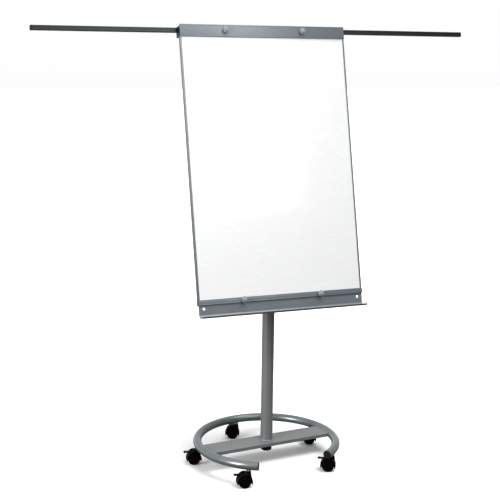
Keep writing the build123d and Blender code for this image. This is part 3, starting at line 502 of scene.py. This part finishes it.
def make_clamp_knob(bar_name, side):
    """Eight-lobed thumb nut with a waist, a dished crown and a raised button."""
    joint = joints[f"{bar_name}_knob_{side}_turn"]
    node = f"{bar_name}_clamp_knob_{side}"
    place = axis_frame(joint["pos_m"], mounts["white_face"]["axis"])
    low, high = span(node, place)
    radius = max(high.x, high.y)
    tall = high.z - low.z
    outline = [(radius * share, low.z + tall * rise, radius * dip) for share, rise, dip in NUT_OUTLINE]
    bm = bmesh.new()
    turned(bm, place, outline, 128, lobes=8)
    body = f"{bar_name}_knob_{side}"
    piece(f"{bar_name}_thumb_nut_{side}", bm, "knob_plastic", body, [node], 32)


def make_star_knob(node, joint_name, body, away, thick):
    """Six-lobed clamping knob: round boss, deep lobes, domed back and an inset cap."""
    place = axis_frame(joints[joint_name]["pos_m"], away)
    low, high = span(node, place)
    radius = max(high.x, high.y)
    seat = high.z - thick
    start = max(low.z, seat - GRIP_BOSS)
    boss = [(radius * 0.30, start), (radius * 0.38, start + 0.0006), (radius * 0.40, seat - 0.001)]
    front = [(radius * share, seat + rise, radius * dip) for share, rise, dip in GRIP_FRONT]
    back = [(radius * share, high.z - drop, radius * dip) for share, drop, dip in GRIP_BACK]
    bm = bmesh.new()
    turned(bm, place, boss + front + back, 144, lobes=6)
    piece(f"{node}_grip", bm, "black_plastic", body, [node], 32)


def screw_head(bm, place, radius, height):
    """Pan head with a cross recess, its underside at z = 0."""
    rows = ((1.0, 0.0), (1.0, 0.25), (0.96, 0.5), (0.86, 0.76), (0.68, 0.93), (0.5, 1.0), (0.48, 1.0),
            (0.05, 1.0))
    turned(bm, place, [(radius * share, height * rise) for share, rise in rows], 48)
    arm, half = radius * 0.5, radius * 0.11
    for turn in (0.0, pi / 2):
        slot = place @ Matrix.Rotation(turn, 4, "Z")
        corners = [(-arm, -half), (arm, -half), (arm, half), (-arm, half)]
        loops = [[slot @ Vector((x * share, y * share, z)) for x, y in corners]
                 for share, z in ((1.0, height + 0.00004), (0.7, height * 0.99))]
        skin(bm, loops)


def separate_solids(node):
    """Points of each separate solid of a CAD node."""
    bm = bmesh.new()
    bm.from_mesh(nodes[node].data)
    bmesh.ops.remove_doubles(bm, verts=bm.verts, dist=SAME_POINT)
    left = set(bm.verts)
    solids = []
    while left:
        waiting = [left.pop()]
        points = []
        while waiting:
            vertex = waiting.pop()
            points.append(vertex.co.copy())
            for edge in vertex.link_edges:
                other = edge.other_vert(vertex)
                if other in left:
                    left.discard(other)
                    waiting.append(other)
        solids.append(points)
    bm.free()
    return sorted(solids, key=lambda solid: (round(solid[0].x, 2), round(solid[0].z, 2)))


def make_screws():
    """Pan-head screws with cross recesses in place of the plain ones of the CAD."""
    reader_side = Vector(mounts["white_face"]["axis"])
    flat = 0.0002
    tallest = 0.0022
    for node, away in (("bracket_screws", -1.0), ("frame_screws", -1.0), ("tray_screws", 1.0)):
        bm = bmesh.new()
        for solid in separate_solids(node):
            place = axis_frame(sum(solid, Vector()) / len(solid), reader_side * away)
            inverse = place.inverted()
            local = [inverse @ point for point in solid]
            top = max(point.z for point in local)
            head = [point for point in local if point.z > top - flat]
            radius = max(Vector((point.x, point.y)).length for point in head)
            height = min(tallest, radius * 0.5)
            screw_head(bm, place @ Matrix.Translation((0.0, 0.0, top - height)), radius, height)
        piece(f"{node}_heads", bm, "zinc_steel", "board", [node], 30)


# ---------------------------------------------------------------- clamp bars

# Across the board's edge: x back from the white face, y down the board and z along it
BOARD_SECTION = BOARD @ Matrix(((0, 0, 1, 0), (0, 1, 0, 0), (1, 0, 0, 0), (0, 0, 0, 1)))


def make_clamp_bar(name):
    """Folded sheet channel with soft bends and a shallow swage along each edge."""
    node = f"{name}_clamp_bar"
    low, high = span(node, BOARD_SECTION)
    sheet = 0.0015
    swage, swage_width = 0.0005, 0.0012
    front, back = low.x, high.x
    inset = min(0.005, (high.y - low.y) * 0.18)
    upper, lower = low.y + inset, high.y - inset
    corners = [
        (back, low.y), (front, low.y), (front, upper), (front + swage, upper + swage_width / 2),
        (front, upper + swage_width), (front, lower - swage_width),
        (front + swage, lower - swage_width / 2), (front, lower), (front, high.y), (back, high.y),
        (back, high.y - sheet), (front + sheet, high.y - sheet), (front + sheet, low.y + sheet),
        (back, low.y + sheet),
    ]
    bm = bmesh.new()
    bar(bm, BOARD_SECTION, rounded(corners, 0.0016, 5), low.z, high.z, 0.0002)
    piece(f"{name}_clamp_channel", bm, "clamp_paint", f"{name}_clamp", [node], 40)


# ---------------------------------------------------------------- castors

AXLE_R = 0.004
AXLE_BORE = 0.0022
# A wheel's running face from its inner side, as (share of its radius, distance from that side)
TREAD = (
    (0.60, 0.0), (0.62, 0.0008), (0.86, 0.0008), (0.88, 0.0), (0.97, 0.0), (1.0, 0.0008), (1.0, 0.0034),
    (0.986, 0.0038), (0.986, 0.0044), (1.0, 0.0048), (1.0, 0.0078),
)
# How far the rounded shoulder comes in, and the hub disc from its rim to its middle, as
# (share of the wheel's radius, distance from the outer face, depth of its six scallops)
SHOULDER = 0.24
HUB = (
    (0.70, 0.0006, 0.0), (0.675, 0.0016, 0.0), (0.60, 0.0016, 0.0), (0.58, 0.0004, 0.03), (0.46, 0.0, 0.03),
    (0.30, 0.0002, 0.0), (0.27, 0.0011, 0.0), (0.20, 0.0011, 0.0), (0.18, 0.0003, 0.0), (0.02, 0.0001, 0.0),
)
# The stem boss from its foot up and over its mouth, as (radius, depth below its top)
BOSS = (
    (0.0119, 0.0270), (0.0116, 0.0155), (0.0108, 0.0085), (0.0102, 0.0062), (0.0100, 0.0050),
    (0.0100, 0.0010), (0.0097, 0.0003), (0.0090, 0.0), (0.0060, 0.0), (0.0058, 0.0006),
)
# The hood in its upright plane, measured from the wheels' centre
HOOD_R = 0.0315
WELL_R = 0.027
DOME_AT = Vector((-0.001, 0.011))
DOME_R = 0.0275
SLOT_AT = Vector((0.004, 0.0215))
SLOT_HALF = 0.0095
WEB_HALF = 0.004
WEB_R = 0.0274
# The brake lever: its underside and top by the hinge, and its tread from the tip
LEVER_UNDER = ((-0.005, -0.0016), (-0.003, -0.0029), (0.002, -0.0029), (0.008, -0.0022))
LEVER_TREAD = ((-0.009, -0.0012), (-0.006, -0.0022), (0.0, -0.002), (0.0, 0.002), (-0.006, 0.0024),
               (-0.009, 0.0014))
LEVER_OVER = ((0.008, 0.0014), (0.001, 0.0024), (-0.005, 0.0016))
# The grip ribs across the tread, and the pin the lever turns on
RIB = ((-0.0005, -0.0005), (0.0005, -0.0005), (0.0003, 0.0004), (-0.0003, 0.0004))
RIB_PITCH = 0.0016
RIB_INSET = 0.0014
PIN_R = 0.002
PIN_EASE = 0.0003
PIN_REACH = 0.004
# Distance from the middle of the hood, and the share of its wall left there
HOOD_CROWN = ((0.0, 1.0), (0.0118, 1.0), (0.0121, 0.93), (0.0127, 0.93), (0.013, 0.985), (0.0155, 0.94),
              (0.0175, 0.87), (0.0192, 0.77), (0.0204, 0.65), (0.021, 0.52))


def castor_frame(name):
    """Origin at the wheels' centre: x trails away from the stem, y is up, z is the axle."""
    hub = Vector(joints[f"wheels_{name}_roll"]["pos_m"])
    stem = Vector(joints[f"castor_{name}_swivel"]["pos_m"])
    trail = Vector((hub.x - stem.x, hub.y - stem.y, 0.0)).normalized()
    up = Vector((0.0, 0.0, 1.0))
    turn = Matrix((trail, up, trail.cross(up))).transposed().to_4x4()
    return Matrix.Translation(hub) @ turn, Vector((hub.x - stem.x, hub.y - stem.y)).length


def make_wheels(name):
    """Two domed wheels: grooved tread, pressed-in hub disc with a scalloped rim, and the axle."""
    place = castor_frame(name)[0]
    high = span(f"castor_{name}_wheel_pair", place)[1]
    radius = high.y
    outside = high.z
    inside = outside * 0.22
    tread = [(radius * share, inside + rise) for share, rise in TREAD]
    edge = tread[-1][1]
    bulge = outside - HUB[0][1] - edge
    steps = 8
    shoulder = []
    for step in range(1, steps + 1):
        angle = step / steps * pi / 2
        shoulder.append((radius * (1 - SHOULDER * (1 - cos(angle))), edge + bulge * sin(angle)))
    hub = [(radius * share, outside - drop, radius * dip) for share, drop, dip in HUB]
    bm = bmesh.new()
    for side in (place, place @ Matrix.Rotation(pi, 4, "Y")):
        turned(bm, side, [(AXLE_R, inside)] + tread + shoulder + hub, 96, lobes=6)
    axle = [(AXLE_R, -inside), (AXLE_R, inside), (AXLE_BORE, inside), (AXLE_BORE, -inside)]
    pipe_turned(bm, place, axle, 32)
    piece(f"castor_{name}_twin_wheels", bm, "castor_tread", f"wheels_{name}",
          [f"castor_{name}_wheel_pair"], 28)


def hood_reach(angle):
    """How far the hood's outline lies from the wheels' centre at an angle."""
    middle = DOME_AT.dot(Vector((cos(angle), sin(angle))))
    return max(HOOD_R, middle + sqrt(DOME_R ** 2 - DOME_AT.length_squared + middle ** 2))


def hood_share(across):
    """How much of the wall's depth is left at a distance from the middle: the hood's crown."""
    for (near, share), (far, after) in zip(HOOD_CROWN, HOOD_CROWN[1:]):
        if near <= abs(across) <= far:
            return share + (after - share) * (abs(across) - near) / (far - near)
    return HOOD_CROWN[-1][1]


def hood_strip(bm, place, low, high, first, last, steps=80):
    """A strip of the hood's wall, from low to high along the axle.

    first and last are the strip's end angles, each at the wheel well and at the outline."""
    marks = {low, high}
    for near, share in HOOD_CROWN:
        marks.update(mark for mark in (-near, near) if low < mark < high)
    loops = []
    for step in range(steps + 1):
        part = step / steps
        inner = first[0] + (last[0] - first[0]) * part
        outer = first[1] + (last[1] - first[1]) * part
        depth = hood_reach(outer) - WELL_R
        loop = [(WELL_R, inner, high), (WELL_R, inner, low)]
        for mark in sorted(marks):
            share = hood_share(mark)
            loop.append((WELL_R + depth * share, inner + (outer - inner) * share, mark))
        loops.append([place @ Vector((reach * cos(angle), reach * sin(angle), across))
                      for reach, angle, across in loop])
    skin(bm, loops)


def make_housing(name):
    """Tall crowned hood with a web between the wheels, a flared stem boss and the lever's slot."""
    node = f"castor_{name}_housing"
    place, trail = castor_frame(name)
    low, high = span(node, place)
    half = high.z
    start = asin(low.y / WELL_R), asin(low.y / HOOD_R)
    end = pi - start[0], pi - start[1]
    bm = bmesh.new()
    web = [WEB_R * Vector((cos(angle), sin(angle)))
           for angle in (start[0] + (end[0] - start[0]) * step / 60 for step in range(61))]
    if name in BRAKED:
        side = DOME_AT.x + sqrt(DOME_R ** 2 - (SLOT_AT.y - DOME_AT.y) ** 2)
        floor = asin(SLOT_AT.y / WELL_R), atan2(SLOT_AT.y, side)
        top = DOME_AT.y + sqrt(DOME_R ** 2 - (SLOT_AT.x - DOME_AT.x) ** 2)
        wall = acos(SLOT_AT.x / WELL_R), atan2(top, SLOT_AT.x)
        hood_strip(bm, place, -half, -SLOT_HALF, start, end)
        hood_strip(bm, place, SLOT_HALF, half, start, end)
        hood_strip(bm, place, -SLOT_HALF, SLOT_HALF, start, floor, 30)
        hood_strip(bm, place, -SLOT_HALF, SLOT_HALF, wall, end, 50)
        right = [point for point in web if point.x > SLOT_AT.x and point.y < SLOT_AT.y]
        left = [point for point in web if point.x < SLOT_AT.x]
        edge = sqrt(WEB_R ** 2 - SLOT_AT.y ** 2)
        web = right + [Vector((edge, SLOT_AT.y)), SLOT_AT] + left
    else:
        hood_strip(bm, place, -half, half, start, end)
    bar(bm, place, web, -WEB_HALF, WEB_HALF, 0.0001)
    stem = place @ Matrix.Translation((-trail, 0.0, 0.0)) @ Matrix.Rotation(-pi / 2, 4, "X")
    turned(bm, stem, [(reach, high.y - depth) for reach, depth in BOSS])
    piece(f"castor_{name}_hood", bm, "castor_plastic", f"castor_{name}", [node], 32)


def make_pedal(name):
    """Brake lever: a curved tread with grip ribs, a nose over the wheels and two trunnions."""
    node = f"castor_{name}_brake_pedal"
    place = castor_frame(name)[0]
    low, high = span(node, place)
    pivot = place.inverted() @ Vector(joints[f"brake_{name}_press"]["pos_m"])
    half = high.z - PIN_REACH
    tip = high.x
    corners = [(pivot.x + x, pivot.y + y) for x, y in LEVER_UNDER]
    corners += [(tip + x, pivot.y + y) for x, y in LEVER_TREAD]
    corners += [(pivot.x + x, pivot.y + y) for x, y in LEVER_OVER]
    bm = bmesh.new()
    bar(bm, place, rounded(corners, 0.0012, 4), -half, half, 0.0008)
    for index in range(3):
        back = RIB_PITCH * (index + 1)
        middle, rise = tip - back, pivot.y + 0.002 + back * 0.04
        rib = [(middle + x, rise + y) for x, y in RIB]
        bar(bm, place, rounded(rib, 0.0003, 3), RIB_INSET - half, half - RIB_INSET, 0.0002)
    pin = [(PIN_R - PIN_EASE, low.z), (PIN_R, low.z + PIN_EASE), (PIN_R, high.z - PIN_EASE),
           (PIN_R - PIN_EASE, high.z)]
    turned(bm, place @ Matrix.Translation((pivot.x, pivot.y, 0.0)), pin, 32)
    piece(f"castor_{name}_brake_lever", bm, "castor_plastic", f"pedal_{name}", [node], 32)


# ---------------------------------------------------------------- build

make_ring()
make_ring_caps()
make_column()
make_beam_welds()
for castor in CASTOR_NAMES:
    make_wheels(castor)
    make_housing(castor)
for castor in BRAKED:
    make_pedal(castor)
for bar_name in ("top", "bottom"):
    make_clamp_bar(bar_name)
    for side in ("left", "right"):
        make_clamp_knob(bar_name, side)
make_star_knob("tilt_knob", "tilt_knob_turn", "tilt_handle", (1.0, 0.0, 0.0), thick=0.016)
make_star_knob("height_lock_knob", "height_knob_turn", "height_knob", (0.0, 1.0, 0.0), thick=0.0155)
make_screws()
# How wide the rounding is on the edges of the CAD nodes that stay in view
SOFT_EDGES = {
    "cross_beam": 0.0018, "pen_tray": 0.0004, "top_rail": 0.0005, "bottom_rail": 0.0004,
    "side_profiles": 0.0003, "rail_end_cap_left": 0.0006, "rail_end_cap_right": 0.0006,
    "bottom_rail_end_caps": 0.0004, "arm_left_tube": 0.0006, "arm_right_tube": 0.0006,
    "arm_left_end_cap": 0.0004, "arm_right_end_cap": 0.0004, "arm_left_guide_shoe": 0.0008,
    "arm_right_guide_shoe": 0.0008, "tilt_bracket": 0.0005, "swivel_head": 0.0012,
    "height_clamp_collar": 0.0008, "column_top_bush": 0.0004, "foot_cap": 0.0006, "foot_bolt": 0.0006,
    "foot_washer": 0.0004, "base_locating_screw": 0.0003, "castor_stems": 0.0004, "tilt_bolt": 0.0006,
    "tilt_friction_washers": 0.0003, "clamp_studs": 0.0002, "board_face_sheet": 0.0001,
    "board_core": 0.0001, "board_back_sheet": 0.0001, "column_inner_tube": 0.0004,
    "mast_guide_bush": 0.0004, "mast_top_plug": 0.0004, "column_foot_plug": 0.0004,
}
for node_name, width in SOFT_EDGES.items():
    soften(node_name, width)


# ---------------------------------------------------------------- stage, light and camera

# The studio's brightness along its axes, as (from, to, brightness there and there):
# BELOW and SKY by the height about the horizon, SIDES out to the right,
# SURROUND from behind the reader to behind the object
BELOW = (-0.3, 0.0, 0.22, 1.0)
SKY = (0.05, 0.3, 1.0, 0.62)
SIDES = (0.58, 0.85, 1.0, 0.6)
SURROUND = (-0.7, 0.4, 0.4, 1.0)
# Distances from the column between which the floor's painted light (an emission that whitens it, shadows
# included) comes up, and its strength
FLOOR_PAINTED_LIGHT = (0.2, 0.75, 0.5)
# The camera's place, its yaw, pitch and roll in radians and its lens in millimetres
CAMERA_PLACE = (-1.6449, -3.8837, 1.6873)
CAMERA_TURN = (-0.3821, 0.1862, 0.0129)
CAMERA_LENS = 76.8


def make_floor():
    """A pale floor that runs far past the object, with painted light: an emission that brightens it away
    from the column.
    """
    half = 40.0
    corners = [(-half, -half, 0), (half, -half, 0), (half, half, 0), (-half, half, 0)]
    mesh = bpy.data.meshes.new("floor")
    mesh.from_pydata(corners, [], [range(len(corners))])
    floor = bpy.data.objects.new("floor", mesh)
    bpy.context.collection.objects.link(floor)
    shader = Shader("studio_floor", Roughness=0.9, Specular_IOR_Level=0.1)
    tone = shader.ramp(shader.noise(0.6, 2.0), [(0.3, (0.93, 0.93, 0.93)), (0.7, (0.95, 0.95, 0.95))])
    spread = shader.add("ShaderNodeVectorMath", Vector=shader.place)
    spread.operation = "LENGTH"
    near, far, strength = FLOOR_PAINTED_LIGHT
    # painted light: the floor's emission rises with distance from the column and whitens any shadow cast
    # out there
    painted_light = shader.ranged(spread.outputs["Value"], 0.0, strength, near, far, "SMOOTHSTEP")
    shader.surface.inputs["Emission Color"].default_value = (1.0, 1.0, 1.0, 1.0)
    mesh.materials.append(shader.finish(Base_Color=tone, Emission_Strength=painted_light))
    floor.visible_diffuse = False
    floor.visible_glossy = False


def make_sun(name, azimuth, elevation, strength, angle):
    """A soft, even light from one direction."""
    light = bpy.data.lights.new(name, "SUN")
    light.energy = strength
    light.angle = radians(angle)
    sun = bpy.data.objects.new(name, light)
    bpy.context.collection.objects.link(sun)
    turn, rise = radians(azimuth), radians(elevation)
    towards = Vector((cos(turn) * cos(rise), sin(turn) * cos(rise), sin(rise)))
    sun.rotation_euler = towards.to_track_quat("Z", "Y").to_euler()


def make_softbox(name, place, target, size, power):
    """A large area light that puts a soft streak on round and glossy parts."""
    light = bpy.data.lights.new(name, "AREA")
    light.shape = "RECTANGLE"
    light.size, light.size_y = size
    light.energy = power
    box = bpy.data.objects.new(name, light)
    bpy.context.collection.objects.link(box)
    box.location = place
    box.rotation_euler = (Vector(place) - Vector(target)).to_track_quat("Z", "Y").to_euler()


def make_world():
    """A pale studio: bright along the horizon behind the object, softer overhead and in front."""
    world = bpy.data.worlds.new("studio")
    world.use_nodes = True
    tree = world.node_tree
    place = tree.nodes.new("ShaderNodeTexCoord")
    split = tree.nodes.new("ShaderNodeSeparateXYZ")
    tree.links.new(place.outputs["Generated"], split.inputs["Vector"])
    fades = []
    for axis, stops in (("Z", BELOW), ("Z", SKY), ("X", SIDES), ("Y", SURROUND)):
        fade = tree.nodes.new("ShaderNodeMapRange")
        fade.interpolation_type = "SMOOTHSTEP"
        tree.links.new(split.outputs[axis], fade.inputs["Value"])
        for socket, number in zip(RANGE_SOCKETS, stops):
            fade.inputs[socket].default_value = number
        fades.append(fade.outputs["Result"])
    product = fades[0]
    for following in fades[1:]:
        both = tree.nodes.new("ShaderNodeMath")
        both.operation = "MULTIPLY"
        tree.links.new(product, both.inputs[0])
        tree.links.new(following, both.inputs[1])
        product = both.outputs["Value"]
    tree.links.new(product, tree.nodes["Background"].inputs["Color"])
    bpy.context.scene.world = world


def make_camera():
    """Three-quarter view from the reader's left, level with the board and looking a little down."""
    camera = bpy.data.objects.new("camera", bpy.data.cameras.new("camera"))
    bpy.context.collection.objects.link(camera)
    camera.data.sensor_width = 36.0
    camera.data.lens = CAMERA_LENS
    yaw, pitch, roll = CAMERA_TURN
    ahead = Vector((-sin(yaw) * cos(pitch), cos(yaw) * cos(pitch), -sin(pitch)))
    level = Vector((cos(yaw), sin(yaw), 0.0))
    up = level.cross(ahead)
    right = level * cos(roll) + up * sin(roll)
    over = up * cos(roll) - level * sin(roll)
    turn = Matrix((right, over, -ahead)).transposed().to_4x4()
    camera.matrix_world = Matrix.Translation(CAMERA_PLACE) @ turn
    bpy.context.scene.camera = camera


bpy.context.scene.view_settings.view_transform = "Standard"
make_floor()
make_world()
make_sun("key", azimuth=-62, elevation=68, strength=2.2, angle=36)
make_softbox("overhead_softbox", (0.2, -1.6, 3.1), target=(0, 0, 1.6), size=(1.3, 1.0), power=22)
make_softbox("left_softbox", (-3.0, -1.2, 1.5), target=(0, 0, 0.6), size=(0.7, 2.2), power=84)
make_softbox("front_softbox", (0.6, -2.3, 2.3), target=(0, 0, 1.4), size=(1.2, 1.2), power=16)
make_camera()
